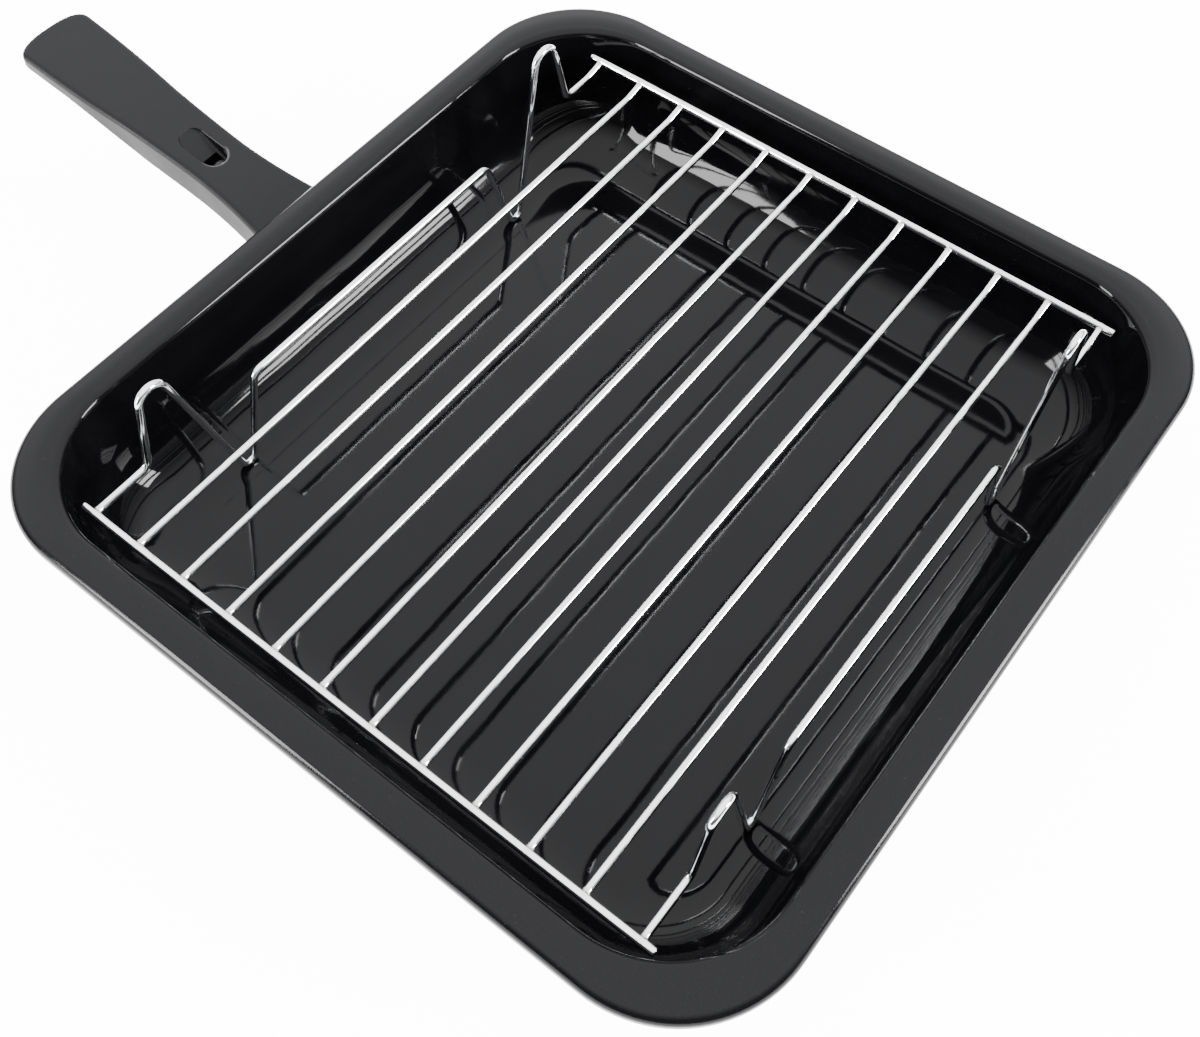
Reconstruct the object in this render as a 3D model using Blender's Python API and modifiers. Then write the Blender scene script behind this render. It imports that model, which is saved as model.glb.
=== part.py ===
"""Enamelled steel grill pan with a reversible wire rack and a screwed-on moulded handle.

Metres, +Z up.  The pan stands on Z = 0 with its centre on the Z axis and the handle points to -X.
"""
import math

import bmesh
import bpy
import numpy as np
from mathutils import Matrix, Vector

MM = 0.001
GAP = 0.3 * MM
SHARP_ANGLE = math.radians(35.0)

# Pan
RIM_X = 326.0 * MM
RIM_Y = 340.0 * MM
PAN_HEIGHT = 57.2 * MM
SHEET = 1.2 * MM
FLANGE = 13.6 * MM
WALL_DRAFT = math.radians(4.0)
FLOOR_FILLET = 32.0 * MM
INNER_BEND = 3.0 * MM
OUTER_BEND = 3.0 * MM
SKIRT = 8.0 * MM
CURL = 1.9 * MM
RIM_CORNER = 47.0 * MM
MOUTH_CORNER = 44.0 * MM
FLOOR_CORNER = 22.0 * MM
CORNER_STEPS = 8

# Rack: every wire end turns up a little to meet the back rail
PITCH = 22.0 * MM
WIRE_COUNT = 12
RAIL_SPAN = 292.0 * MM
RAIL_LENGTH = 253.0 * MM
WIRE_R = 1.5 * MM
RAIL_R = 1.7 * MM
RACK_Z = 45.2 * MM
BACK_RISE = 2.0 * MM
RISE_RUN = 8.0 * MM
RISE_BEND = 12.0 * MM

# Leg bends as (distance from the nearer rail, height over the rack) of the sharp corners
LEG_START = (25.5 * MM, 0.0)
LOOP_APEX = (38.0 * MM, 54.5 * MM)
FOOT_APEX = (63.2 * MM, -52.2 * MM)
LEG_END = (78.5 * MM, 0.0)
LEG_BENDS = (4.5 * MM, 6.2 * MM, 3.6 * MM, 5.0 * MM)
BEND_STEPS = 6

# Handle, in its own frame: +X out along the grip, +Z off its top, zero at the rim edge
HANDLE_TILT = math.radians(9.0)
GRIP_TOP = 43.0 * MM
GRIP_START = -8.0 * MM
GRIP_LENGTH = 148.0 * MM
GRIP_DEPTHS = ((-8.0, 17.2), (66.0, 17.2), (76.0, 16.7), (84.0, 15.5), (110.0, 10.3),
               (119.0, 9.1), (128.0, 8.8), (148.0, 8.8))
GRIP_HALF_WIDTHS = ((-8.0, 19.0), (0.0, 18.3), (8.0, 17.1), (16.0, 15.9), (24.0, 14.9),
                    (33.0, 14.1), (44.0, 13.6), (56.0, 13.7), (66.0, 14.0), (76.0, 14.4),
                    (84.0, 14.8), (97.0, 15.8), (110.0, 16.7), (119.0, 17.1), (128.0, 17.4),
                    (140.0, 17.6))
TIP_LENGTH = 8.0 * MM
TIP_SQUARENESS = 2.6
TOP_EDGE = 1.2 * MM
LOWER_EDGE = 3.5 * MM
SOCKET_DEPTH = 31.6 * MM
SOCKET_WIDTH = 22.6 * MM
SOCKET_TOP = -2.2 * MM
SOCKET_FLOOR = -12.4 * MM
STRIP_WIDTH = 22.0 * MM
STRIP_T = 1.8 * MM
STRIP_BEND = 2.4 * MM
PLATE_WIDTH = 34.0 * MM
PLATE_LOW = 20.5 * MM
PLATE_HIGH = 46.5 * MM
SCREW_Z = -6.2 * MM
SCREW_R = 2.0 * MM
SHANK = 20.0 * MM
HEAD_R = 3.75 * MM
HEAD_T = 3.0 * MM
WASHER_R = 3.9 * MM
WASHER_T = 1.0 * MM
NUT_SIZE = 7.0 * MM
NUT_T = 3.2 * MM
POCKET_SEAT = 43.5 * MM
POCKET_OUT = 67.0 * MM
POCKET_DEPTH = 8.0 * MM
POCKET_R = 5.5 * MM
SEAT_R = 4.35 * MM


def clear_scene():
    for obj in list(bpy.data.objects):
        bpy.data.objects.remove(obj, do_unlink=True)


def collection(name):
    group = bpy.data.collections.new(name)
    bpy.context.scene.collection.children.link(group)
    return group


def material(name, colour, roughness, metallic):
    mat = bpy.data.materials.new(name)
    mat.use_nodes = True
    shader = mat.node_tree.nodes["Principled BSDF"]
    shader.inputs["Base Color"].default_value = (*colour, 1.0)
    shader.inputs["Roughness"].default_value = roughness
    shader.inputs["Metallic"].default_value = metallic
    return mat


def enamel(name):
    return material(name, (0.012, 0.012, 0.014), 0.12, 0.0)


def chrome(name):
    return material(name, (0.78, 0.78, 0.80), 0.10, 1.0)


def phenolic(name):
    return material(name, (0.035, 0.035, 0.038), 0.42, 0.0)


def plated_steel(name):
    return material(name, (0.55, 0.55, 0.56), 0.32, 1.0)


def place(obj, group, mat, matrix=None):
    mat.name = obj.name
    obj.data.materials.append(mat)
    group.objects.link(obj)
    if matrix is not None:
        obj.matrix_world = matrix
    return obj


def mesh_object(name, bm):
    bmesh.ops.recalc_face_normals(bm, faces=bm.faces)
    mesh = bpy.data.meshes.new(name)
    bm.to_mesh(mesh)
    bm.free()
    mesh.shade_smooth()
    mesh.set_sharp_from_angle(angle=SHARP_ANGLE)
    return bpy.data.objects.new(name, mesh)


def loft(name, rings, cap_last=True):
    """Skin equal-length rings in order; the first ring is capped, the last one on request."""
    bm = bmesh.new()
    rows = [[bm.verts.new(point) for point in ring] for ring in rings]
    count = len(rows[0])
    for low, high in zip(rows, rows[1:]):
        for i in range(count):
            j = (i + 1) % count
            bm.faces.new((low[i], low[j], high[j], high[i]))
    bm.faces.new(rows[0])
    if cap_last:
        bm.faces.new(rows[-1])
    return mesh_object(name, bm)


def arc(centre, radius, start, end, steps):
    angles = [math.radians(start + (end - start) * k / steps) for k in range(steps + 1)]
    return [(centre[0] + radius * math.cos(a), centre[1] + radius * math.sin(a)) for a in angles]


def rounded_rectangle(half_x, half_y, radius):
    x, y = half_x - radius, half_y - radius
    points = arc((x, y), radius, 0, 90, CORNER_STEPS)
    points += arc((-x, y), radius, 90, 180, CORNER_STEPS)
    points += arc((-x, -y), radius, 180, 270, CORNER_STEPS)
    points += arc((x, -y), radius, 270, 360, CORNER_STEPS)
    return points


def filleted_path(points, radii):
    """Round the inner corners of a 3-D polyline with tangent arcs."""
    path = [Vector(points[0])]
    for before, corner, after, radius in zip(points, points[1:], points[2:], radii):
        corner = Vector(corner)
        inward = (Vector(before) - corner).normalized()
        outward = (Vector(after) - corner).normalized()
        half = inward.angle(outward) / 2
        centre = corner + (inward + outward).normalized() * (radius / math.sin(half))
        start = corner + inward * (radius / math.tan(half)) - centre
        end = corner + outward * (radius / math.tan(half)) - centre
        axis = start.cross(end)
        step = start.angle(end) / BEND_STEPS
        path += [centre + Matrix.Rotation(step * k, 3, axis) @ start for k in range(BEND_STEPS + 1)]
    path.append(Vector(points[-1]))
    return path


def cylinder(name, radius, length, sides, bevel=0.0):
    """Cylinder along +X, starting at X = 0."""
    bm = bmesh.new()
    turn = Matrix.Translation((length / 2, 0, 0)) @ Matrix.Rotation(math.pi / 2, 4, "Y")
    bmesh.ops.create_cone(bm, cap_ends=True, segments=sides, radius1=radius, radius2=radius,
                          depth=length, matrix=turn)
    if bevel:
        ends = [e for e in bm.edges if abs(e.verts[0].co.x - e.verts[1].co.x) < GAP]
        bmesh.ops.bevel(bm, geom=ends, offset=bevel, segments=2, profile=0.5, affect="EDGES")
    return mesh_object(name, bm)


def box(name, low, high):
    bm = bmesh.new()
    size = [b - a for a, b in zip(low, high)]
    middle = [(a + b) / 2 for a, b in zip(low, high)]
    matrix = Matrix.Translation(middle) @ Matrix.Diagonal((*size, 1.0))
    bmesh.ops.create_cube(bm, size=1.0, matrix=matrix)
    return mesh_object(name, bm)


def combine(obj, tool, group, matrix, operation="DIFFERENCE"):
    """Cut or join with a tool body kept hidden from render in its own collection."""
    group.objects.link(tool)
    tool.hide_render = True
    tool.display_type = "WIRE"
    tool.matrix_world = matrix
    step = obj.modifiers.new(tool.name, "BOOLEAN")
    step.operation = operation
    step.solver = "EXACT"
    step.object = tool


def thicken(obj, thickness, offset):
    shell = obj.modifiers.new("sheet", "SOLIDIFY")
    shell.thickness = thickness
    shell.offset = offset
    shell.use_even_offset = True


def pan_profile():
    """Upper face of the sheet as (inset from the rim edge, height), floor to curled edge."""
    draft = math.degrees(WALL_DRAFT)
    turn = math.tan(math.radians(90.0 - draft) / 2)
    floor_edge = FLANGE + (PAN_HEIGHT - SHEET) * math.tan(WALL_DRAFT) + FLOOR_FILLET * turn
    profile = arc((floor_edge, SHEET + FLOOR_FILLET), FLOOR_FILLET, 270, 180 + draft, 7)
    mouth = (FLANGE - INNER_BEND * turn, PAN_HEIGHT - INNER_BEND)
    profile += arc(mouth, INNER_BEND, draft, 90, 3)
    profile += arc((OUTER_BEND, PAN_HEIGHT - OUTER_BEND), OUTER_BEND, 90, 180, 4)
    profile += arc((CURL, PAN_HEIGHT - SKIRT + CURL), CURL, 180, 330, 5)
    return profile


def build_pan(group):
    profile = pan_profile()
    insets = (0.0, FLANGE, profile[0][0])
    corners = (RIM_CORNER, MOUTH_CORNER, FLOOR_CORNER)
    rings = []
    for inset, height in profile:
        radius = np.interp(inset, insets, corners)
        outline = rounded_rectangle(RIM_X / 2 - inset, RIM_Y / 2 - inset, radius)
        rings.append([(x, y, height) for x, y in outline])
    pan = loft("pan", rings, cap_last=False)
    floor = max(pan.data.polygons, key=lambda face: face.area)
    if floor.normal.z < 0:
        pan.data.flip_normals()
    thicken(pan, SHEET, -1.0)
    place(pan, group, enamel("pan"))


def wire_object(name, path):
    curve = bpy.data.curves.new(name, "CURVE")
    curve.dimensions = "3D"
    curve.bevel_depth = WIRE_R
    curve.bevel_resolution = 2
    curve.use_fill_caps = True
    spline = curve.splines.new("POLY")
    spline.points.add(len(path) - 1)
    for point, co in zip(spline.points, path):
        point.co = (*co, 1.0)
    return bpy.data.objects.new(name, curve)


def rear_end(x):
    """Last two corners of a wire: the start of its upturn and its end at the back rail."""
    back = RAIL_SPAN / 2 - RAIL_R - GAP
    return [(x, back - RISE_RUN, RACK_Z), (x, back, RACK_Z + BACK_RISE)]


def build_straight_wires(group):
    front = RAIL_R + GAP - RAIL_SPAN / 2
    for i in range(1, WIRE_COUNT - 1):
        x = (i - (WIRE_COUNT - 1) / 2) * PITCH
        path = filleted_path([(x, front, RACK_Z)] + rear_end(x), (RISE_BEND,))
        place(wire_object(f"rack_wire_{i:02d}", path), group, chrome("wire"))


def build_leg_wire(name, x, group):
    bends = (LEG_START, LOOP_APEX, FOOT_APEX, LEG_END)
    half = RAIL_SPAN / 2
    points = [(x, RAIL_R + GAP - half, RACK_Z)]
    points += [(x, run - half, RACK_Z + rise) for run, rise in bends]
    points += [(x, half - run, RACK_Z + rise) for run, rise in reversed(bends)]
    radii = LEG_BENDS + tuple(reversed(LEG_BENDS)) + (RISE_BEND,)
    path = filleted_path(points + rear_end(x), radii)
    place(wire_object(name, path), group, chrome("wire"))


def build_rack(group):
    start = -RAIL_LENGTH / 2
    for name, y, z in (("rack_rail_front", -RAIL_SPAN / 2, RACK_Z),
                       ("rack_rail_back", RAIL_SPAN / 2, RACK_Z + BACK_RISE)):
        rail = cylinder(name, RAIL_R, RAIL_LENGTH, 14, 0.5 * MM)
        place(rail, group, chrome("rail"), Matrix.Translation((start, y, z)))
    build_straight_wires(group)
    outer = (WIRE_COUNT - 1) / 2 * PITCH
    build_leg_wire("rack_leg_wire_left", -outer, group)
    build_leg_wire("rack_leg_wire_right", outer, group)


def grip_outline(inset, depth_at, end_lean):
    """Plan outline of the grip with a height for every point, drawn in by an inset."""
    runs, halves = zip(*GRIP_HALF_WIDTHS)
    side = []
    for k, run in enumerate(runs):
        out = run * MM
        height = depth_at(out)
        if k == 0:
            out += height * end_lean
        side.append((out, halves[k] * MM - inset, height))
    start = GRIP_LENGTH - TIP_LENGTH
    power = 2 / TIP_SQUARENESS
    for k in range(1, 10):
        angle = math.radians(10 * k)
        out = start + (TIP_LENGTH - inset) * math.sin(angle) ** power
        half = (halves[-1] * MM - inset) * math.cos(angle) ** power
        side.append((out, half if k < 9 else 0.0, depth_at(out)))
    return side + [(x, -y, z) for x, y, z in reversed(side[:-1])]


def build_grip(group, tools, frame):
    stations, depths = zip(*GRIP_DEPTHS)
    lean = math.tan(HANDLE_TILT + WALL_DRAFT)

    def underside(out):
        return -float(np.interp(out / MM, stations, depths)) * MM

    rings = []
    for across, down in arc((0.0, 0.0), TOP_EDGE, 90, 0, 3):
        rings.append(grip_outline(TOP_EDGE - across, lambda out: down - TOP_EDGE, lean))
    for across, up in arc((0.0, 0.0), LOWER_EDGE, 0, -90, 4):
        rise = LOWER_EDGE + up
        rings.append(grip_outline(LOWER_EDGE - across, lambda out: underside(out) + rise, lean))
    grip = place(loft("handle_grip", rings), group, phenolic("grip"), frame)

    low = (GRIP_START - 8.0 * MM, -SOCKET_WIDTH / 2, SOCKET_FLOOR)
    high = (SOCKET_DEPTH, SOCKET_WIDTH / 2, SOCKET_TOP)
    combine(grip, box("tool_socket", low, high), tools, frame)
    combine(grip, pocket_tool(), tools, frame)
    axis = frame @ Matrix.Translation((0, 0, SCREW_Z))
    seat = axis @ Matrix.Translation((POCKET_SEAT, 0, 0))
    combine(grip, cylinder("tool_seat", SEAT_R, 9.0 * MM, 24), tools, seat)
    bore = axis @ Matrix.Translation((SOCKET_DEPTH - MM, 0, 0))
    combine(grip, cylinder("tool_bore", SCREW_R + GAP, 13.0 * MM, 20), tools, bore)


def pocket_tool():
    """Round-ended scoop that ramps down from the grip top towards the screw seat."""
    fall = POCKET_DEPTH / (POCKET_OUT - POCKET_SEAT)
    outline = arc((POCKET_OUT - POCKET_R, 0), POCKET_R, -90, 90, 10)
    outline += arc((POCKET_SEAT + POCKET_R, 0), POCKET_R, 90, 270, 10)
    below = [(x, y, (x - POCKET_OUT) * fall) for x, y in outline]
    above = [(x, y, 3.0 * MM) for x, y in outline]
    return loft("tool_pocket", (below, above))


def wall_outside(height):
    """Distance of the outer face of the pan wall from the YZ plane."""
    inset = FLANGE + (PAN_HEIGHT - height) * math.tan(WALL_DRAFT)
    return RIM_X / 2 - inset + SHEET / math.cos(WALL_DRAFT)


def build_bracket(group, tools, frame):
    """Weld plate on the pan wall, a tongue along the grip and a turned-up tab at its end."""
    middle = (PLATE_LOW + PLATE_HIGH) / 2
    out = wall_outside(middle) + GAP
    plate_frame = Matrix.Translation((-out, 0, middle)) @ Matrix.Rotation(-WALL_DRAFT, 4, "Y")
    half = (PLATE_HIGH - PLATE_LOW) / 2
    plate = box("tool_plate", (-STRIP_T, -PLATE_WIDTH / 2, -half), (0, PLATE_WIDTH / 2, half))

    level = SOCKET_FLOOR + GAP + STRIP_T / 2
    tab = SOCKET_DEPTH - GAP - STRIP_T / 2
    root = -(out + STRIP_T * 0.45)
    start = frame.inverted() @ Vector((root, 0, middle))
    root_x = start.x + (level - start.z) * math.tan(HANDLE_TILT + WALL_DRAFT)
    corners = [(root_x, 0, level), (tab, 0, level), (tab, 0, SOCKET_TOP - GAP)]
    path = filleted_path(corners, (STRIP_BEND,))
    bm = bmesh.new()
    line = [bm.verts.new((p.x, -STRIP_WIDTH / 2, p.z)) for p in path]
    edges = [bm.edges.new(pair) for pair in zip(line, line[1:])]
    swept = bmesh.ops.extrude_edge_only(bm, edges=edges)["geom"]
    far = [v for v in swept if isinstance(v, bmesh.types.BMVert)]
    bmesh.ops.translate(bm, verts=far, vec=(0, STRIP_WIDTH, 0))
    bracket = mesh_object("handle_bracket", bm)
    thicken(bracket, STRIP_T, 0.0)
    place(bracket, group, plated_steel("steel"), frame)
    combine(bracket, plate, tools, plate_frame, "UNION")
    hole = frame @ Matrix.Translation((tab - 4.0 * MM, 0, SCREW_Z))
    combine(bracket, cylinder("tool_tab_hole", SCREW_R + GAP, 8.0 * MM, 20), tools, hole)


def build_nut(group, tools, frame):
    face = SOCKET_DEPTH - GAP - STRIP_T - GAP
    half = NUT_SIZE / 2
    spot = frame @ Matrix.Translation((face - NUT_T, 0, SCREW_Z))
    nut = box("handle_nut", (0, -half, -half), (NUT_T, half, half))
    place(nut, group, plated_steel("steel"), spot)
    bore = spot @ Matrix.Translation((-MM, 0, 0))
    combine(nut, cylinder("tool_nut_bore", SCREW_R + GAP, NUT_T + 2 * MM, 20), tools, bore)


def build_washer(group, tools, frame):
    spot = frame @ Matrix.Translation((POCKET_SEAT + GAP, 0, SCREW_Z))
    washer = cylinder("handle_washer", WASHER_R, WASHER_T, 28)
    place(washer, group, plated_steel("steel"), spot)
    bore = spot @ Matrix.Translation((-MM, 0, 0))
    combine(washer, cylinder("tool_washer_bore", SCREW_R + GAP, 3 * MM, 20), tools, bore)


def build_screw(group, tools, frame):
    """Turned about its own Z axis: domed, slotted head up and a plain shank down to the nut."""
    profile = ((0.0, HEAD_T), (0.35 * HEAD_R, 0.98 * HEAD_T), (0.64 * HEAD_R, 0.88 * HEAD_T),
               (0.88 * HEAD_R, 0.66 * HEAD_T), (HEAD_R, 0.3 * HEAD_T), (HEAD_R, 0.0), (SCREW_R, 0.0),
               (SCREW_R, 0.5 * MM - SHANK), (SCREW_R - 0.5 * MM, -SHANK), (0.0, -SHANK))
    mesh = bpy.data.meshes.new("handle_screw")
    chain = [(k, k + 1) for k in range(len(profile) - 1)]
    mesh.from_pydata([(radius, 0.0, z) for radius, z in profile], chain, [])
    screw = bpy.data.objects.new("handle_screw", mesh)
    turn = screw.modifiers.new("turn", "SCREW")
    turn.steps = 24
    turn.render_steps = 24
    turn.use_merge_vertices = True
    turn.merge_threshold = 0.01 * MM
    spot = frame @ Matrix.Translation((POCKET_SEAT + 2 * GAP + WASHER_T, 0, SCREW_Z))
    spot = spot @ Matrix.Rotation(math.pi / 2, 4, "Y")
    place(screw, group, plated_steel("steel"), spot)
    low = (-HEAD_R - MM, -0.5 * MM, 0.6 * HEAD_T)
    high = (HEAD_R + MM, 0.5 * MM, HEAD_T + MM)
    combine(screw, box("tool_slot", low, high), tools, spot)


def build_handle(group, tools):
    frame = Matrix.Translation((-RIM_X / 2, 0, GRIP_TOP))
    frame = frame @ Matrix.Rotation(math.pi, 4, "Z") @ Matrix.Rotation(-HANDLE_TILT, 4, "Y")
    build_grip(group, tools, frame)
    build_bracket(group, tools, frame)
    build_nut(group, tools, frame)
    build_washer(group, tools, frame)
    build_screw(group, tools, frame)


def main():
    clear_scene()
    parts = collection("grill_pan")
    tools = collection("tools")
    build_pan(parts)
    build_rack(parts)
    build_handle(parts, tools)


main()
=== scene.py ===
"""Looks of an enamelled grill pan, its chromed wire rack and its moulded handle."""
import math

import bmesh
import bpy
import numpy as np
from mathutils import Matrix, Vector


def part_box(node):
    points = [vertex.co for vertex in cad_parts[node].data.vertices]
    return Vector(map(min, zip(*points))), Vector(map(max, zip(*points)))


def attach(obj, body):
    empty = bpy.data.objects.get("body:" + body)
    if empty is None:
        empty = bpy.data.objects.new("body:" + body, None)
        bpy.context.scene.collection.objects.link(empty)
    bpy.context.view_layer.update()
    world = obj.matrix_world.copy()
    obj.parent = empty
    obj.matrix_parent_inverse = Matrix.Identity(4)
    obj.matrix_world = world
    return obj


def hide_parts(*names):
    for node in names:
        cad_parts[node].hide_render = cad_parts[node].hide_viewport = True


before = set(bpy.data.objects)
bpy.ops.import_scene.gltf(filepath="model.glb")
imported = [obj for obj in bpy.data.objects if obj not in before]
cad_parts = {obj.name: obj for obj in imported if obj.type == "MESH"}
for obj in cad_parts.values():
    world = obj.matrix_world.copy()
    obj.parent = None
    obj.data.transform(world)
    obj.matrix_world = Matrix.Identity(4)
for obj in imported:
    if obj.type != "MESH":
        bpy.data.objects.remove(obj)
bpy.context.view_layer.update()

MM = 0.001
GAP = 0.3 * MM
SHARP_ANGLE = math.radians(35.0)

# Pan: the sheet's upper face, from the floor to the curled edge
PAN_LOW, PAN_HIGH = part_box("pan")
RIM_X = PAN_HIGH.x - PAN_LOW.x
RIM_Y = PAN_HIGH.y - PAN_LOW.y
PAN_HEIGHT = PAN_HIGH.z
SHEET = 1.2 * MM
FLANGE = 13.6 * MM
WALL_DRAFT = math.radians(4.0)
FLOOR_FILLET = 32.0 * MM
INNER_BEND = 3.0 * MM
OUTER_BEND = 4.0 * MM
SKIRT = 8.0 * MM
CURL = 1.9 * MM
CURL_END = 330.0
RIM_CORNER = 47.0 * MM
MOUTH_CORNER = 44.0 * MM
FLOOR_CORNER = 22.0 * MM
FLOOR_BORDER = 8.0 * MM
CROWN = 0.35 * MM
CROWN_EASE = 3.0 * MM
LEVEL = 0.01 * MM
FILLET_STEPS, BEND_ROWS, CURL_STEPS = 30, 10, 12
PROFILE_STEP = 1.5 * MM
PROFILE_REST = 1.0 * MM
SUPPORT = 0.5 * MM
CORNER_STEPS = 24
EDGE_STEPS = 44
SATIN_INSETS = (FLANGE - 2.4 * MM, FLANGE - 0.6 * MM)

# Unevenness of the drawn walls: share, cycles round the pan, phase, change of phase up the wall
WAVINESS = 0.16 * MM
WAVES = ((0.45, 11, 0.4, 0.0), (0.30, 23, 1.9, 0.0), (0.25, 37, 0.0, 5.0))
WAVE_INSET = FLANGE - 2.0 * MM
WAVE_LOW = SHEET + 2.0 * MM
WAVE_HIGH = PAN_HEIGHT - 1.0 * MM

# Rack
PITCH = 22.0 * MM
WIRE_COUNT = 12
FIRST_WIRE = (WIRE_COUNT - 1) / 2 * PITCH
RAIL_SPAN = 292.0 * MM
RAIL_LENGTH = 253.0 * MM
WIRE_R = 1.5 * MM
RAIL_R = 1.7 * MM
RAIL_ROUND = 0.6 * MM
RACK_Z = 45.2 * MM
BACK_RISE = 2.0 * MM
RISE_RUN = 8.0 * MM
RISE_BEND = 12.0 * MM
LEG_START = (25.5 * MM, 0.0)
LOOP_APEX = (38.0 * MM, 54.5 * MM)
FOOT_APEX = (63.2 * MM, -52.2 * MM)
LEG_END = (78.5 * MM, 0.0)
LEG_BENDS = (4.5 * MM, 6.2 * MM, 3.6 * MM, 5.0 * MM)
WIRE_SIDES = 20
BEND_STEPS = 14
ROUND_STEPS = 6

# Welds: a wire's end narrows inside the rail, and a low collar fades out along wire and rail
BURIED_R = 0.8 * WIRE_R
BURIED_BULGE = 0.37 * MM
BURIED_FADE = 0.6 * MM
COLLAR_GROWTH = 0.07
COLLAR_FADE = 0.9 * MM
COLLAR_WELD = 0.7
WELD_FADE = 1.3 * MM
RAIL_GROWTH = 0.03
RAIL_WELD = 0.25
DENSE_RUN = 4.0 * MM
DENSE_STEPS = 16
LAST_WELD = FIRST_WIRE + 5.0 * MM
RAIL_STATIONS = (-3.0, -2.2, -1.6, -1.0, -0.5, 0.0, 0.5, 1.0, 1.6, 2.2, 3.0)

# Handle, in its own frame: +X out along the grip, +Z off its top, zero at the rim edge
HANDLE_TILT = math.radians(9.0)
GRIP_TOP = 43.0 * MM
GRIP_START = -8.0 * MM
GRIP_LENGTH = 148.0 * MM
GRIP_DEPTHS = ((-8.0, 17.2), (66.0, 17.2), (76.0, 16.7), (84.0, 15.5), (110.0, 10.3),
               (119.0, 9.1), (128.0, 8.8), (148.0, 8.8))
GRIP_HALF_WIDTHS = ((-8.0, 19.0), (0.0, 18.3), (8.0, 17.1), (16.0, 15.9), (24.0, 14.9),
                    (33.0, 14.1), (44.0, 13.6), (56.0, 13.7), (66.0, 14.0), (76.0, 14.4),
                    (84.0, 14.8), (97.0, 15.8), (110.0, 16.7), (119.0, 17.1), (128.0, 17.4),
                    (140.0, 17.6))
GRIP_STATIONS = 56
END_DRAW = 0.5
TIP_LENGTH = 8.0 * MM
TIP_SQUARENESS = 2.6
TIP_STEPS = 30
TOP_EDGE = 2.4 * MM
TOP_STEPS = 8
TOP_SUPPORTS = (2.8 * MM, 0.4 * MM)
LOWER_EDGE = 3.5 * MM
LOWER_STEPS = 10
# Width of the grip's edge band, where the resin is duller and its colour is painted darker as a
# painted dark reflection
EDGE_DULL_AND_SHADE_WIDTH = 1.8 * MM
NORMAL_WEIGHT = 80

# Hollows cut in the grip: the tongue's socket, the scooped pocket, the screw's seat and bore
SOCKET_DEPTH = 31.6 * MM
SOCKET_WIDTH = 22.6 * MM
SOCKET_TOP = -2.2 * MM
SOCKET_FLOOR = -12.4 * MM
SOCKET_OVERRUN = 8.0 * MM
SCREW_Z = -6.2 * MM
SCREW_R = 2.0 * MM
SEAT_R = 4.35 * MM
SEAT_RUN = 9.0 * MM
BORE_START = SOCKET_DEPTH - 1.0 * MM
BORE_END = SOCKET_DEPTH + 12.0 * MM
ROD_SIDES = 40
POCKET_SEAT = 43.5 * MM
POCKET_OUT = 67.0 * MM
POCKET_DEPTH = 8.0 * MM
POCKET_R = 5.5 * MM
POCKET_LIP = 0.9 * MM
POCKET_FLOOR = ((-1.6, 0.0), (-0.9, 0.12), (-0.4, 0.4), (-0.1, 0.8), (0.0, 1.3))
POCKET_WALL = 1.4 * MM
POCKET_CLEAR = 2.4 * MM
POCKET_FLARE = 1.4 * POCKET_LIP
POCKET_STEPS = 20
LIP_ANGLES = np.linspace(0, 70, 7)

# Camera
CAMERA_PLACE = (0.17331, -0.23095, 0.45528)
CAMERA_TURN = (0.539690, 0.002871, 0.662124)
CAMERA_LENS = 40.71
SENSOR_WIDTH = 36.0
CLIP_START = 0.01

# Light: a sky, the levels that camera rays and other rays meet, and lamps given by azimuth from +X
# towards +Y, elevation, width, height and radiance
SKY_LEVEL = 3.4
SKY_LOW = 0.06
SKY_TILT = (-0.20, 0.24, 1.0)
SKY_RAMP = (0.28, 0.72)
SKY_COLOUR = (0.985, 0.99, 1.0, 1.0)
WHITE = (1.0, 1.0, 1.0, 1.0)
BACKGROUND_LEVEL = 14.0
FLOOR_GLOW = 3.2
FLOOR_SEEN = 12.0
LAMP_DISTANCE = 3.0
LAMPS = (("window_right", 27.5, 20.0, 0.85, 1.2, 60.0),
         ("window_front", 241.5, 20.0, 0.62, 1.5, 45.0))
STAGE_RADIUS = 4.0
STAGE_SIDES = 64

# Colours (linear, darker then lighter of each mottle), refraction and the middle span of noise
ENAMEL_TRAY = ((0.0016, 0.0016, 0.0020), (0.0034, 0.0034, 0.0041))
ENAMEL_RIM = ((0.0020, 0.0020, 0.0025), (0.0050, 0.0050, 0.0058))
ENAMEL_SPECK = (0.014, 0.014, 0.015)
CHROME_BRIGHT = ((0.88, 0.885, 0.90), (0.97, 0.972, 0.98))
CHROME_WELD = ((0.34, 0.31, 0.27), (0.62, 0.60, 0.57))
RESIN_BODY = ((0.0026, 0.0026, 0.0032), (0.0048, 0.0048, 0.0058))
RESIN_GRAIN = (0.0075, 0.0075, 0.0086)
# Colour of the grip's edges: painted dark reflection, a darker line standing in for the dim low sky
# seen in the edges
RESIN_EDGE_SHADE = (0.0020, 0.0020, 0.0024)
# Colour of the pocket's lip: a painted highlight, lighter resin standing in for the glint on the
# lip's arc
RESIN_LIP_HIGHLIGHT = (0.085, 0.085, 0.090)
ZINC_BODY = ((0.42, 0.42, 0.41), (0.66, 0.66, 0.64))
ZINC_SPANGLE = 0.16
OXIDE_BODY = ((0.016, 0.016, 0.018), (0.026, 0.023, 0.021))
STAGE_PAINT = ((0.90, 0.90, 0.90), (0.93, 0.93, 0.93))
ENAMEL_IOR = 1.25
RESIN_IOR = 1.26
OXIDE_IOR = 1.30
STAGE_ROUGHNESS = 0.9
MIDDLE = (0.3, 0.7)
UNIT = (0.0, 1.0)


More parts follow.
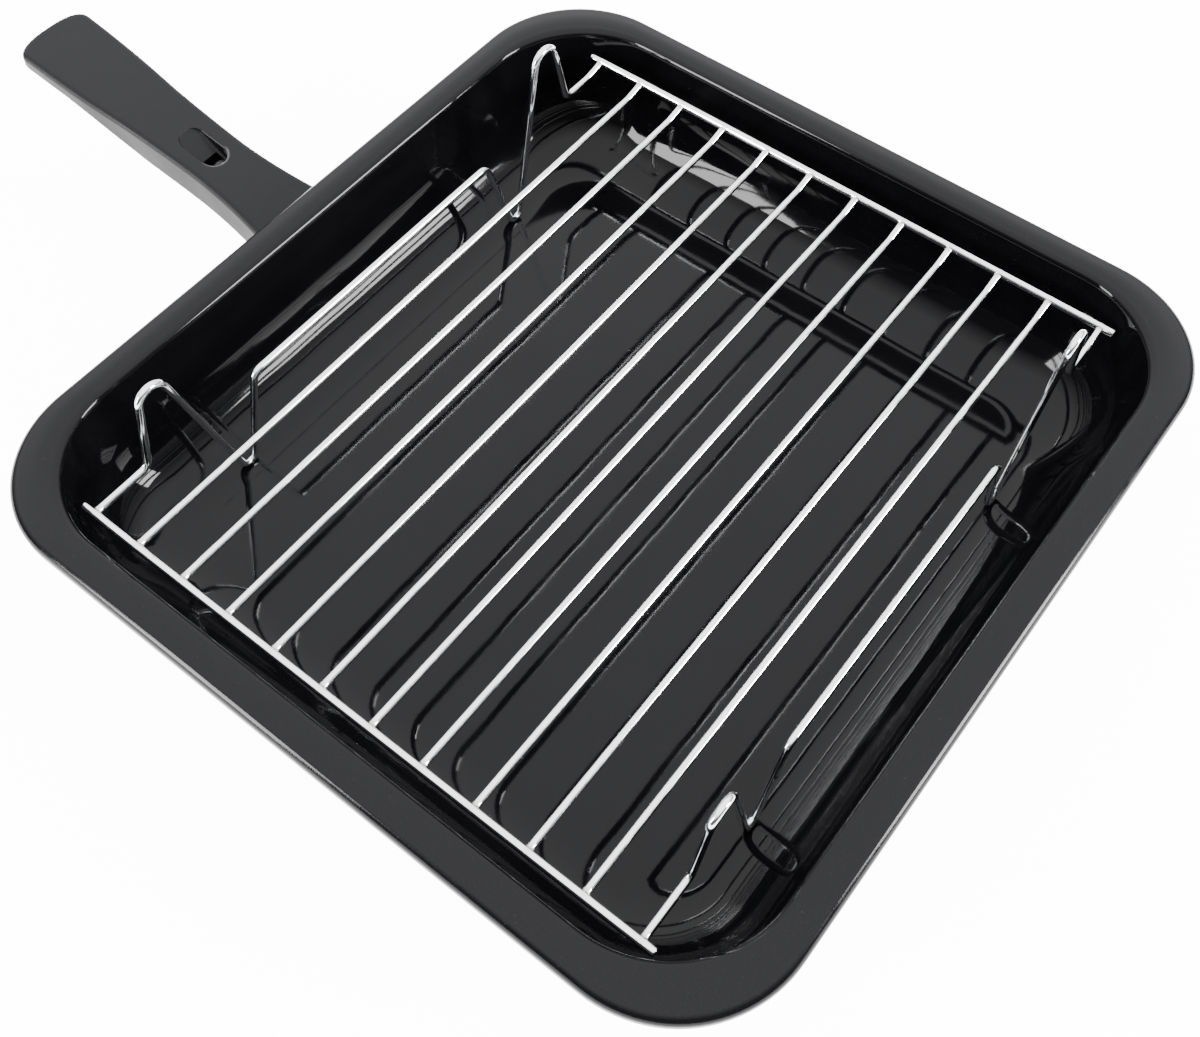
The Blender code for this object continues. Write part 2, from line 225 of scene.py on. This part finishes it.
def add(tree, kind, inputs=None, **settings):
    item = tree.nodes.new(kind)
    for name, value in settings.items():
        setattr(item, name, value)
    for name, value in (inputs or {}).items():
        if isinstance(value, bpy.types.NodeSocket):
            tree.links.new(value, item.inputs[name])
        else:
            item.inputs[name].default_value = value
    return item


def new_material(name):
    """A material with its node tree, its shader and the object's own coordinates."""
    mat = bpy.data.materials.new(name)
    mat.use_nodes = True
    tree = mat.node_tree
    at = add(tree, "ShaderNodeTexCoord").outputs["Object"]
    return mat, tree, tree.nodes["Principled BSDF"], at


def drive(tree, shader, **values):
    """Link values to the shader's colour, roughness and normal."""
    names = {"colour": "Base Color", "roughness": "Roughness", "normal": "Normal"}
    for key, value in values.items():
        tree.links.new(value, shader.inputs[names[key]])


def noise(tree, vector, scale, detail, rough=0.5):
    return add(tree, "ShaderNodeTexNoise", {
        "Vector": vector, "Scale": scale, "Detail": detail, "Roughness": rough,
    }).outputs["Fac"]


def remap(tree, value, span, result):
    return add(tree, "ShaderNodeMapRange", {
        "Value": value, "From Min": span[0], "From Max": span[1],
        "To Min": result[0], "To Max": result[1],
    }).outputs["Result"]


def maths(tree, operation, a, b=0.0):
    return add(tree, "ShaderNodeMath", {0: a, 1: b}, operation=operation).outputs["Value"]


def vector_maths(tree, operation, a, b, output):
    return add(tree, "ShaderNodeVectorMath", {0: a, 1: b}, operation=operation).outputs[output]


def blend_value(tree, factor, a, b):
    return add(tree, "ShaderNodeMix", {0: factor, 2: a, 3: b}, data_type="FLOAT").outputs[0]


def blend_colour(tree, factor, a, b):
    item = add(tree, "ShaderNodeMix", data_type="RGBA")
    for socket, value in ((item.inputs[0], factor), (item.inputs[6], a), (item.inputs[7], b)):
        if isinstance(value, bpy.types.NodeSocket):
            tree.links.new(value, socket)
        else:
            socket.default_value = value if isinstance(value, float) else (*value, 1.0)
    return item.outputs[2]


def stretch(tree, vector, scale):
    return add(tree, "ShaderNodeMapping", {"Vector": vector, "Scale": scale}).outputs["Vector"]


def bump(tree, height, distance, strength, below=None):
    inputs = {"Height": height, "Distance": distance, "Strength": strength}
    if below is not None:
        inputs["Normal"] = below
    return add(tree, "ShaderNodeBump", inputs).outputs["Normal"]


def painted(tree, name):
    return add(tree, "ShaderNodeAttribute", attribute_name=name).outputs["Fac"]


def enamel_material():
    """Black vitreous enamel: glossy in the tray, satin and faintly grained on the rim."""
    mat, tree, shader, at = new_material("vitreous_enamel")
    satin = painted(tree, "satin")
    cloud = noise(tree, at, scale=38.0, detail=4.0)
    grain = noise(tree, at, scale=1500.0, detail=2.0)
    speck = remap(tree, noise(tree, at, scale=900.0, detail=1.0), (0.72, 0.82), (0.0, 0.6))
    tray = blend_colour(tree, cloud, *ENAMEL_TRAY)
    rim = blend_colour(tree, grain, *ENAMEL_RIM)
    plain = blend_colour(tree, satin, tray, rim)
    gloss = remap(tree, cloud, MIDDLE, (0.035, 0.085))
    matt = remap(tree, noise(tree, at, scale=120.0, detail=3.0), MIDDLE, (0.10, 0.17))
    flow = bump(tree, noise(tree, at, scale=46.0, detail=1.0), 0.16 * MM, 0.40)
    peel = bump(tree, noise(tree, at, scale=330.0, detail=2.0), 0.012 * MM, 0.5, flow)
    grit = bump(tree, maths(tree, "MULTIPLY", grain, satin), 0.03 * MM, 0.35, peel)
    drive(tree, shader, roughness=blend_value(tree, satin, gloss, matt), normal=grit,
          colour=blend_colour(tree, maths(tree, "MULTIPLY", speck, satin), plain, ENAMEL_SPECK))
    shader.inputs["IOR"].default_value = ENAMEL_IOR
    return mat


def chrome_material():
    """Bright chromed wire with drawing lines along it and dull, slightly browned welds."""
    mat, tree, shader, at = new_material("chromed_wire")
    weld = painted(tree, "weld")
    cloud = noise(tree, at, scale=160.0, detail=3.0)
    bright = blend_colour(tree, cloud, *CHROME_BRIGHT)
    dull = blend_colour(tree, cloud, *CHROME_WELD)
    shine = remap(tree, cloud, MIDDLE, (0.05, 0.13))
    lines = noise(tree, stretch(tree, at, (2600.0, 60.0, 2600.0)), scale=1.0, detail=2.0)
    lined = bump(tree, lines, 0.02 * MM, 0.35)
    pits = maths(tree, "MULTIPLY", noise(tree, at, scale=1100.0, detail=3.0), weld)
    drive(tree, shader, colour=blend_colour(tree, weld, bright, dull),
          roughness=maths(tree, "ADD", shine, maths(tree, "MULTIPLY", weld, 0.25)),
          normal=bump(tree, pits, 0.3 * MM, 0.8, lined))
    shader.inputs["Metallic"].default_value = 1.0
    return mat


def pocket_lip(tree, at):
    """Mask of the arc of the pocket's lip over the screw, where a painted highlight goes, from
    distances in the grip's frame.
    """
    centre = handle_frame() @ Vector((POCKET_SEAT + POCKET_R, 0.0, 0.0))
    outward = handle_frame().to_3x3() @ Vector((1.0, 0.0, 0.0))
    away = vector_maths(tree, "DISTANCE", at, centre, "Value")
    off = maths(tree, "ABSOLUTE", maths(tree, "SUBTRACT", away, POCKET_R + POCKET_LIP / 2))
    arm = vector_maths(tree, "SUBTRACT", at, centre, "Vector")
    along = vector_maths(tree, "DOT_PRODUCT", arm, outward, "Value")
    return maths(tree, "MULTIPLY", remap(tree, off, (0.2 * MM, 0.8 * MM), (1.0, 0.0)),
                 remap(tree, along, (-3.0 * MM, 0.5 * MM), (1.0, 0.0)))


def resin_material():
    """Compression-moulded black resin: cloudy satin; duller edges, painted darker as a painted dark
    reflection; a painted highlight on the pocket's lip.
    """
    mat, tree, shader, at = new_material("moulded_phenolic")
    edge = painted(tree, "edge")
    cloud = noise(tree, at, scale=55.0, detail=4.0)
    grain = noise(tree, at, scale=1300.0, detail=3.0)
    # Noise that breaks up the painted highlight on the pocket's lip
    lip_mottle = remap(tree, noise(tree, at, scale=420.0, detail=4.0, rough=0.6), MIDDLE, (0.55, 1.0))
    body = blend_colour(tree, cloud, *RESIN_BODY)
    body = blend_colour(tree, remap(tree, grain, (0.35, 0.65), (0.0, 0.35)), body, RESIN_GRAIN)
    # Edges painted darker: a painted dark reflection along the grip's edges, not a colour of the
    # resin
    body = blend_colour(tree, edge, body, RESIN_EDGE_SHADE)
    # The pocket's lip is painted lighter: a painted highlight on its arc at the pan end
    lip_highlight = maths(tree, "MULTIPLY", lip_mottle, pocket_lip(tree, at))
    satin = remap(tree, cloud, MIDDLE, (0.34, 0.46))
    dulled = maths(tree, "ADD", 1.0, maths(tree, "MULTIPLY", edge, 0.15))
    soft = bump(tree, noise(tree, at, scale=60.0, detail=2.0), 0.4 * MM, 0.35)
    drive(tree, shader, colour=blend_colour(tree, lip_highlight, body, RESIN_LIP_HIGHLIGHT),
          roughness=maths(tree, "MULTIPLY", satin, dulled),
          normal=bump(tree, grain, 0.03 * MM, 0.30, soft))
    shader.inputs["IOR"].default_value = RESIN_IOR
    return mat


def zinc_material():
    """Zinc-plated steel: mottled grey with a faint spangle and rolling marks."""
    mat, tree, shader, at = new_material("zinc_plate")
    cells = add(tree, "ShaderNodeTexVoronoi", {"Vector": at, "Scale": 420.0}).outputs["Color"]
    cloud = noise(tree, at, scale=220.0, detail=4.0)
    base = blend_colour(tree, cloud, *ZINC_BODY)
    rolled = noise(tree, stretch(tree, at, (90.0, 1800.0, 1800.0)), scale=1.0, detail=2.0)
    drive(tree, shader, colour=blend_colour(tree, ZINC_SPANGLE, base, cells),
          roughness=remap(tree, cloud, MIDDLE, (0.26, 0.46)),
          normal=bump(tree, rolled, 0.03 * MM, 0.4))
    shader.inputs["Metallic"].default_value = 1.0
    return mat


def oxide_material():
    """Black-oxide steel: dark, with a faint warm bloom and turning marks."""
    mat, tree, shader, at = new_material("black_oxide")
    bloom = remap(tree, noise(tree, at, scale=340.0, detail=4.0), (0.45, 0.65), UNIT)
    turned = noise(tree, stretch(tree, at, (2400.0, 300.0, 300.0)), scale=1.0, detail=2.0)
    drive(tree, shader, colour=blend_colour(tree, bloom, *OXIDE_BODY),
          roughness=remap(tree, bloom, UNIT, (0.30, 0.52)),
          normal=bump(tree, turned, 0.03 * MM, 0.4))
    shader.inputs["IOR"].default_value = OXIDE_IOR
    return mat


def arc(centre, radius, start, end, steps):
    angles = np.radians(np.linspace(start, end, steps + 1))
    return [(centre[0] + radius * math.cos(a), centre[1] + radius * math.sin(a)) for a in angles]


def bell(distance, width):
    """One at no distance, falling smoothly to nothing over about two widths."""
    return math.exp(-(distance / width) ** 2)


def filleted_path(points, radii):
    """Round the inner corners of a 3-D polyline with tangent arcs."""
    path = [Vector(points[0])]
    for before, corner, after, radius in zip(points, points[1:], points[2:], radii):
        corner = Vector(corner)
        inward = (Vector(before) - corner).normalized()
        outward = (Vector(after) - corner).normalized()
        half = inward.angle(outward) / 2
        centre = corner + (inward + outward).normalized() * (radius / math.sin(half))
        start = corner + inward * (radius / math.tan(half)) - centre
        end = corner + outward * (radius / math.tan(half)) - centre
        axis = start.cross(end)
        step = start.angle(end) / BEND_STEPS
        path += [centre + Matrix.Rotation(step * k, 3, axis) @ start for k in range(BEND_STEPS + 1)]
    path.append(Vector(points[-1]))
    return path


def skin(bm, rows, caps):
    """Join closed rows of vertices with quads, and close the rows that are numbered as caps."""
    for low, high in zip(rows, rows[1:]):
        for i in range(len(low)):
            j = (i + 1) % len(low)
            bm.faces.new((low[i], low[j], high[j], high[i]))
    for cap in caps:
        bm.faces.new(rows[cap])
    bmesh.ops.recalc_face_normals(bm, faces=bm.faces)


def placed(name, bm):
    """Turn a bmesh into an object in the scene."""
    mesh = bpy.data.meshes.new(name)
    bm.to_mesh(mesh)
    bm.free()
    obj = bpy.data.objects.new(name, mesh)
    bpy.context.scene.collection.objects.link(obj)
    return obj


def paint(obj, layer, values):
    attribute = obj.data.attributes.new(layer, "FLOAT", "POINT")
    attribute.data.foreach_set("value", np.asarray(values, np.float32))


def dress(obj, material, body, stands_for):
    """Shade a piece smooth, give it its material, and let it ride on a body for a CAD node."""
    obj.data.shade_smooth()
    obj.data.set_sharp_from_angle(angle=SHARP_ANGLE)
    obj.data.materials.clear()
    obj.data.materials.append(material)
    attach(obj, body)
    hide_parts(stands_for)


def bake(obj):
    """Apply an object's modifiers to its own mesh."""
    bpy.context.view_layer.update()
    depsgraph = bpy.context.evaluated_depsgraph_get()
    mesh = bpy.data.meshes.new_from_object(obj.evaluated_get(depsgraph), depsgraph=depsgraph)
    obj.modifiers.clear()
    obj.data = mesh


def rim_outline(half_x, half_y, radius):
    """Rounded rectangle with subdivided straights: points with their outward directions."""
    x, y = half_x - radius, half_y - radius
    centres = [Vector(spot) for spot in ((x, y), (-x, y), (-x, -y), (x, -y))]
    points = []
    for turn, centre in enumerate(centres):
        for k in range(CORNER_STEPS + 1):
            angle = math.radians(90 * turn + 90 * k / CORNER_STEPS)
            out = Vector((math.cos(angle), math.sin(angle)))
            points.append((centre + out * radius, out))
        quarter = math.radians(90 * turn + 90)
        out = Vector((round(math.cos(quarter)), round(math.sin(quarter))))
        start = centre + out * radius
        end = centres[(turn + 1) % 4] + out * radius
        points += [(start.lerp(end, k / EDGE_STEPS), out) for k in range(1, EDGE_STEPS)]
    return points


def sheet_profile():
    """Upper face of the sheet as (inset from the rim edge, height), floor to curled edge."""
    draft = math.degrees(WALL_DRAFT)
    turn = math.tan(math.radians(90.0 - draft) / 2)
    floor_edge = FLANGE + (PAN_HEIGHT - SHEET) * math.tan(WALL_DRAFT) + FLOOR_FILLET * turn
    mouth = (FLANGE - INNER_BEND * turn, PAN_HEIGHT - INNER_BEND)
    outer = (OUTER_BEND, PAN_HEIGHT - OUTER_BEND)
    curl = (CURL, PAN_HEIGHT - SKIRT + CURL)
    bends = (
        [(floor_edge + FLOOR_BORDER, SHEET)],
        arc((floor_edge, SHEET + FLOOR_FILLET), FLOOR_FILLET, 270, 180 + draft, FILLET_STEPS),
        arc(mouth, INNER_BEND, draft, 90, BEND_ROWS),
        arc(outer, OUTER_BEND, 90, 180, BEND_ROWS),
        arc(curl, CURL, 180, CURL_END, CURL_STEPS),
    )
    profile = list(bends[0])
    for before, after in zip(bends, bends[1:]):
        a, b = Vector(before[-1]), Vector(after[0])
        run = (b - a).length
        stops = [SUPPORT, *np.arange(PROFILE_STEP, run - PROFILE_REST, PROFILE_STEP), run - SUPPORT]
        profile += [tuple(a.lerp(b, stop / run)) for stop in stops if 0 < stop < run]
        profile += after
    middle, half = (mouth[0] + OUTER_BEND) / 2, (mouth[0] - OUTER_BEND) / 2

    def drop(inset, height):
        """How far the flange's crown and its bends fall below a flat flange."""
        across = abs(inset - middle) / half
        if across < 1 and height > PAN_HEIGHT - LEVEL:
            return CROWN * across ** 2
        return CROWN * max(0.0, (height - PAN_HEIGHT + CROWN_EASE) / CROWN_EASE)

    return [(inset, height - drop(inset, height)) for inset, height in profile], floor_edge


def corner_radius(inset, floor_edge):
    if inset > floor_edge:
        return FLOOR_CORNER - (inset - floor_edge)
    return np.interp(inset, (0.0, FLANGE, floor_edge), (RIM_CORNER, MOUTH_CORNER, FLOOR_CORNER))


def wall_wave(run, lift):
    """Unevenness of a drawn wall, between -1 and 1, at an angle round the pan and a height."""
    return sum(share * math.sin(cycles * run + phase + climb * lift)
               for share, cycles, phase, climb in WAVES)


def build_pan(material):
    profile, floor_edge = sheet_profile()
    bm = bmesh.new()
    rows, satin = [], []
    for inset, height in profile:
        ring = rim_outline(RIM_X / 2 - inset, RIM_Y / 2 - inset, corner_radius(inset, floor_edge))
        lift = (height - WAVE_LOW) / (WAVE_HIGH - WAVE_LOW)
        swell = math.sin(math.pi * lift) if inset > WAVE_INSET and 0 < lift < 1 else 0.0
        row = []
        for k, (point, out) in enumerate(ring):
            wave = wall_wave(2 * math.pi * k / len(ring), lift)
            spot = point + out * (WAVINESS * swell * wave)
            row.append(bm.verts.new((spot.x, spot.y, height)))
        rows.append(row)
        satin += [float(np.interp(inset, SATIN_INSETS, (1.0, 0.0)))] * len(row)
    skin(bm, rows, caps=(0,))
    floor = max(bm.faces, key=lambda face: face.calc_area())
    if floor.normal.z < 0:
        bmesh.ops.reverse_faces(bm, faces=bm.faces)
    shell = placed("pan_shell", bm)
    paint(shell, "satin", satin)
    sheet = shell.modifiers.new("sheet", "SOLIDIFY")
    sheet.thickness = SHEET
    sheet.offset = -1.0
    sheet.use_even_offset = True
    bake(shell)
    dress(shell, material, "pan_body", "pan")


def tube(name, path, radii, welds, material, stands_for):
    """Skin circles along a path without twist; welds gives each circle's share of weld."""
    bm = bmesh.new()
    rows, weld = [], []
    side = (path[1] - path[0]).normalized().orthogonal().normalized()
    for k, point in enumerate(path):
        ahead = (path[min(k + 1, len(path) - 1)] - path[max(k - 1, 0)]).normalized()
        side = (side - ahead * side.dot(ahead)).normalized()
        other = ahead.cross(side)
        row = []
        for i in range(WIRE_SIDES):
            angle = 2 * math.pi * i / WIRE_SIDES
            spoke = side * math.cos(angle) + other * math.sin(angle)
            row.append(bm.verts.new(point + spoke * radii[k]))
        rows.append(row)
        weld += [welds[k]] * WIRE_SIDES
    skin(bm, rows, caps=(0, -1))
    piece = placed(name, bm)
    paint(piece, "weld", weld)
    dress(piece, material, "rack_body", stands_for)


def dense_ends(path):
    """Set close rows of points along the first and last run of a path."""
    def row(a, b):
        return [a.lerp(b, DENSE_RUN * k / DENSE_STEPS / (b - a).length)
                for k in range(DENSE_STEPS + 1)]

    return row(path[0], path[1]) + path[1:-1] + row(path[-1], path[-2])[::-1]


def rack_wire(name, path, material, stands_for):
    """A wire whose ends run into the rails through a small welded collar."""
    path = dense_ends(path)
    front, back = path[0].y + RAIL_R, path[-1].y - RAIL_R
    radii, welds = [], []
    for point in path:
        to_rail = min(point.y - front, back - point.y)
        if to_rail < 0:
            radii.append(BURIED_R + BURIED_BULGE * bell(to_rail, BURIED_FADE))
            welds.append(1.0)
        else:
            radii.append(WIRE_R * (1 + COLLAR_GROWTH * bell(to_rail, COLLAR_FADE)))
            welds.append(COLLAR_WELD * bell(to_rail, WELD_FADE))
    tube(name, path, radii, welds, material, stands_for)


def build_rack(material):
    half = RAIL_SPAN / 2
    back = half - RAIL_R - GAP
    for k in range(WIRE_COUNT):
        x = k * PITCH - FIRST_WIRE
        rise = [(x, back - RISE_RUN, RACK_Z), (x, half, RACK_Z + BACK_RISE)]
        if 0 < k < WIRE_COUNT - 1:
            path = filleted_path([(x, -half, RACK_Z)] + rise, (RISE_BEND,))
            rack_wire(f"wire_{k:02d}", path, material, f"rack_wire_{k:02d}")
            continue
        bends = (LEG_START, LOOP_APEX, FOOT_APEX, LEG_END)
        points = [(x, -half, RACK_Z)]
        points += [(x, run - half, RACK_Z + up) for run, up in bends]
        points += [(x, half - run, RACK_Z + up) for run, up in reversed(bends)]
        path = filleted_path(points + rise, LEG_BENDS + LEG_BENDS[::-1] + (RISE_BEND,))
        side = "left" if k == 0 else "right"
        rack_wire(f"leg_wire_{side}", path, material, f"rack_leg_wire_{side}")
    for side, y, z in (("front", -half, RACK_Z), ("back", half, RACK_Z + BACK_RISE)):
        build_rail(side, y, z, material)


def build_rail(side, y, z, material):
    """A cross rail with rounded ends, swelling a little at each weld."""
    round_start = RAIL_LENGTH / 2 - RAIL_ROUND
    turns = np.linspace(0, math.pi / 2, ROUND_STEPS)
    ends = [round_start + RAIL_ROUND * math.sin(turn) for turn in turns]
    stations = sorted({round(k * PITCH - FIRST_WIRE + offset * MM, 6)
                       for k in range(WIRE_COUNT) for offset in RAIL_STATIONS})
    path, radii, welds = [], [], []
    for x in [-end for end in reversed(ends)] + stations + ends:
        over = max(0.0, abs(x) - round_start)
        radius = RAIL_R - RAIL_ROUND + math.sqrt(max(0.0, RAIL_ROUND ** 2 - over ** 2))
        away = abs((x + FIRST_WIRE + PITCH / 2) % PITCH - PITCH / 2)
        near = bell(away, WELD_FADE) if abs(x) < LAST_WELD else 0.0
        path.append(Vector((x, y, z)))
        radii.append(radius * (1 + RAIL_GROWTH * near))
        welds.append(RAIL_WELD * near)
    tube(f"rail_{side}", path, radii, welds, material, f"rack_rail_{side}")


def handle_frame():
    """From the handle's own frame to the shared frame."""
    rim_edge = Matrix.Translation((PAN_LOW.x, 0, GRIP_TOP))
    return rim_edge @ Matrix.Rotation(math.pi, 4, "Z") @ Matrix.Rotation(-HANDLE_TILT, 4, "Y")


def smooth_value(table, out):
    """A smooth curve through a table of (distance out, size), both in millimetres."""
    runs, sizes = (np.array(column) * MM for column in zip(*table))
    slopes = np.gradient(sizes, runs)
    k = int(np.clip(np.searchsorted(runs, out) - 1, 0, len(runs) - 2))
    step = runs[k + 1] - runs[k]
    t = (out - runs[k]) / step
    return float((2 * t ** 3 - 3 * t ** 2 + 1) * sizes[k]
                 + (t ** 3 - 2 * t ** 2 + t) * step * slopes[k]
                 + (3 * t ** 2 - 2 * t ** 3) * sizes[k + 1]
                 + (t ** 3 - t ** 2) * step * slopes[k + 1])


def grip_outline(inset, height_at, end_lean):
    """Plan outline of the grip with a height for every point, drawn in by an inset."""
    side = []
    start = GRIP_LENGTH - TIP_LENGTH
    for k, out in enumerate(np.linspace(GRIP_START, start, GRIP_STATIONS)):
        height = height_at(out)
        half = smooth_value(GRIP_HALF_WIDTHS, out) - inset
        if k == 0:
            out += height * end_lean + inset * END_DRAW
        side.append((out, half, height))
    power = 2 / TIP_SQUARENESS
    widest = smooth_value(GRIP_HALF_WIDTHS, start)
    for k in range(1, TIP_STEPS + 1):
        angle = math.radians(90 * k / TIP_STEPS)
        out = start + (TIP_LENGTH - inset) * math.sin(angle) ** power
        half = (widest - inset) * max(math.cos(angle), 0.0) ** power
        side.append((out, half if k < TIP_STEPS else 0.0, height_at(out)))
    return side + [(x, -y, z) for x, y, z in reversed(side[:-1])]


def ring_stack(rings):
    """A closed solid through rings of points."""
    bm = bmesh.new()
    skin(bm, [[bm.verts.new(point) for point in ring] for ring in rings], caps=(0, -1))
    return bm


def pocket_rings():
    """Scoop with a round lip: floor ramp, upright walls, then a flare through the grip's top."""
    fall = POCKET_DEPTH / (POCKET_OUT - POCKET_SEAT)

    def outline(grow):
        points = arc((POCKET_OUT - POCKET_R, 0), POCKET_R + grow, -90, 90, POCKET_STEPS)
        return points + arc((POCKET_SEAT + POCKET_R, 0), POCKET_R + grow, 90, 270, POCKET_STEPS)

    def ramp(x):
        return max(-POCKET_DEPTH, (x - POCKET_OUT) * fall)

    rings = [[(x, y, ramp(x) + lift * MM) for x, y in outline(grow * MM)]
             for grow, lift in POCKET_FLOOR]
    for angle in np.radians(LIP_ANGLES):
        drop = POCKET_LIP * (1 - math.sin(angle))
        rings.append([(x, y, max(-drop, ramp(x) + POCKET_WALL))
                      for x, y in outline(POCKET_LIP * (1 - math.cos(angle)))])
    rings.append([(x, y, POCKET_CLEAR) for x, y in outline(POCKET_FLARE)])
    return rings


def cut(obj, bm, name):
    """Take a tool's solid out of a piece."""
    tool = placed(name, bm)
    step = obj.modifiers.new(name, "BOOLEAN")
    step.operation = "DIFFERENCE"
    step.solver = "EXACT"
    step.object = tool
    bake(obj)
    bpy.data.objects.remove(tool)


def rod(radius, start, end):
    """A round tool along the screw's axis."""
    bm = bmesh.new()
    turn = Matrix.Rotation(math.pi / 2, 4, "Y")
    bmesh.ops.create_cone(bm, cap_ends=True, segments=ROD_SIDES, radius1=radius, radius2=radius,
                          depth=end - start,
                          matrix=Matrix.Translation(((start + end) / 2, 0, SCREW_Z)) @ turn)
    return bm


def block(low, high):
    bm = bmesh.new()
    size = [b - a for a, b in zip(low, high)]
    middle = [(a + b) / 2 for a, b in zip(low, high)]
    bmesh.ops.create_cube(bm, size=1.0,
                          matrix=Matrix.Translation(middle) @ Matrix.Diagonal((*size, 1.0)))
    return bm


def grip_edge(x, y, z):
    """How near a point of the grip lies to the edge of its top, from 0 to 1."""
    side = smooth_value(GRIP_HALF_WIDTHS, min(x, GRIP_LENGTH - TIP_LENGTH)) - abs(y)
    return bell(math.hypot(z, max(0.0, min(side, GRIP_LENGTH - x))), EDGE_DULL_AND_SHADE_WIDTH)


def build_grip(material):
    lean = math.tan(HANDLE_TILT + WALL_DRAFT)

    def underside(out):
        return -smooth_value(GRIP_DEPTHS, out)

    rings = [grip_outline(TOP_EDGE + border, lambda out: 0.0, lean) for border in TOP_SUPPORTS]
    for across, down in arc((0.0, 0.0), TOP_EDGE, 90, 0, TOP_STEPS):
        rings.append(grip_outline(TOP_EDGE - across, lambda out: down - TOP_EDGE, lean))
    for across, up in arc((0.0, 0.0), LOWER_EDGE, 0, -90, LOWER_STEPS):
        rise = LOWER_EDGE + up
        rings.append(grip_outline(LOWER_EDGE - across, lambda out: underside(out) + rise, lean))
    grip = placed("grip", ring_stack(rings))
    cut(grip, block((GRIP_START - SOCKET_OVERRUN, -SOCKET_WIDTH / 2, SOCKET_FLOOR),
                    (SOCKET_DEPTH, SOCKET_WIDTH / 2, SOCKET_TOP)), "tool_socket")
    cut(grip, ring_stack(pocket_rings()), "tool_pocket")
    cut(grip, rod(SEAT_R, POCKET_SEAT, POCKET_SEAT + SEAT_RUN), "tool_seat")
    cut(grip, rod(SCREW_R + GAP, BORE_START, BORE_END), "tool_bore")
    paint(grip, "edge", [grip_edge(*vert.co) for vert in grip.data.vertices])
    grip.data.transform(handle_frame())
    dress(grip, material, "handle_body", "handle_grip")
    weights = grip.modifiers.new("weights", "WEIGHTED_NORMAL")
    weights.keep_sharp = True
    weights.weight = NORMAL_WEIGHT
    bake(grip)


def build_camera():
    data = bpy.data.cameras.new("camera")
    data.lens = CAMERA_LENS
    data.sensor_width = SENSOR_WIDTH
    data.clip_start = CLIP_START
    camera = bpy.data.objects.new("camera", data)
    camera.location = CAMERA_PLACE
    camera.rotation_euler = CAMERA_TURN
    bpy.context.scene.collection.objects.link(camera)
    bpy.context.scene.camera = camera


def soft_light(name, azimuth, elevation, width, height, radiance):
    """Rectangular lamp facing the pan, unseen by the camera itself."""
    data = bpy.data.lights.new(name, "AREA")
    data.shape = "RECTANGLE"
    data.size = width
    data.size_y = height
    data.energy = radiance * math.pi * width * height
    lamp = bpy.data.objects.new(name, data)
    a, e = math.radians(azimuth), math.radians(elevation)
    out = Vector((math.cos(e) * math.cos(a), math.cos(e) * math.sin(a), math.sin(e)))
    lamp.location = out * LAMP_DISTANCE
    lamp.rotation_euler = out.to_track_quat("Z", "Y").to_euler()
    bpy.context.scene.collection.objects.link(lamp)
    lamp.visible_camera = False


def build_stage():
    """Plain pale floor, lit so that the camera sees it as white as the background."""
    bm = bmesh.new()
    bmesh.ops.create_circle(bm, cap_ends=True, segments=STAGE_SIDES, radius=STAGE_RADIUS)
    floor = placed("floor", bm)
    floor.location.z = -GAP
    mat, tree, shader, at = new_material("pale_floor")
    tint = noise(tree, at, scale=3.0, detail=2.0)
    drive(tree, shader, colour=blend_colour(tree, tint, *STAGE_PAINT))
    shader.inputs["Roughness"].default_value = STAGE_ROUGHNESS
    shader.inputs["Emission Color"].default_value = WHITE
    seen = add(tree, "ShaderNodeLightPath").outputs["Is Camera Ray"]
    tree.links.new(remap(tree, seen, UNIT, (FLOOR_GLOW, FLOOR_SEEN)),
                   shader.inputs["Emission Strength"])
    floor.data.materials.append(mat)


def build_light():
    """Bright tilted sky that darkens low down, two window-like lamps, and a white background."""
    world = bpy.data.worlds.new("studio")
    bpy.context.scene.world = world
    world.use_nodes = True
    tree = world.node_tree
    aim = add(tree, "ShaderNodeTexCoord").outputs["Generated"]
    climb = vector_maths(tree, "DOT_PRODUCT", aim, SKY_TILT, "Value")
    level = remap(tree, climb, SKY_RAMP, (SKY_LOW * SKY_LEVEL, SKY_LEVEL))
    sky = tree.nodes["Background"]
    sky.inputs["Color"].default_value = SKY_COLOUR
    tree.links.new(level, sky.inputs["Strength"])
    plain = add(tree, "ShaderNodeBackground", {"Color": WHITE, "Strength": BACKGROUND_LEVEL})
    seen = add(tree, "ShaderNodeLightPath").outputs["Is Camera Ray"]
    both = add(tree, "ShaderNodeMixShader", {0: seen, 1: sky.outputs[0], 2: plain.outputs[0]})
    tree.links.new(both.outputs[0], tree.nodes["World Output"].inputs["Surface"])
    for lamp in LAMPS:
        soft_light(*lamp)


def main():
    build_camera()
    build_stage()
    build_light()
    build_pan(enamel_material())
    build_rack(chrome_material())
    build_grip(resin_material())
    zinc, oxide = zinc_material(), oxide_material()
    for name, material in (("handle_bracket", zinc), ("handle_nut", zinc),
                           ("handle_washer", zinc), ("handle_screw", oxide)):
        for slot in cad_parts[name].material_slots:
            slot.material = material


main()
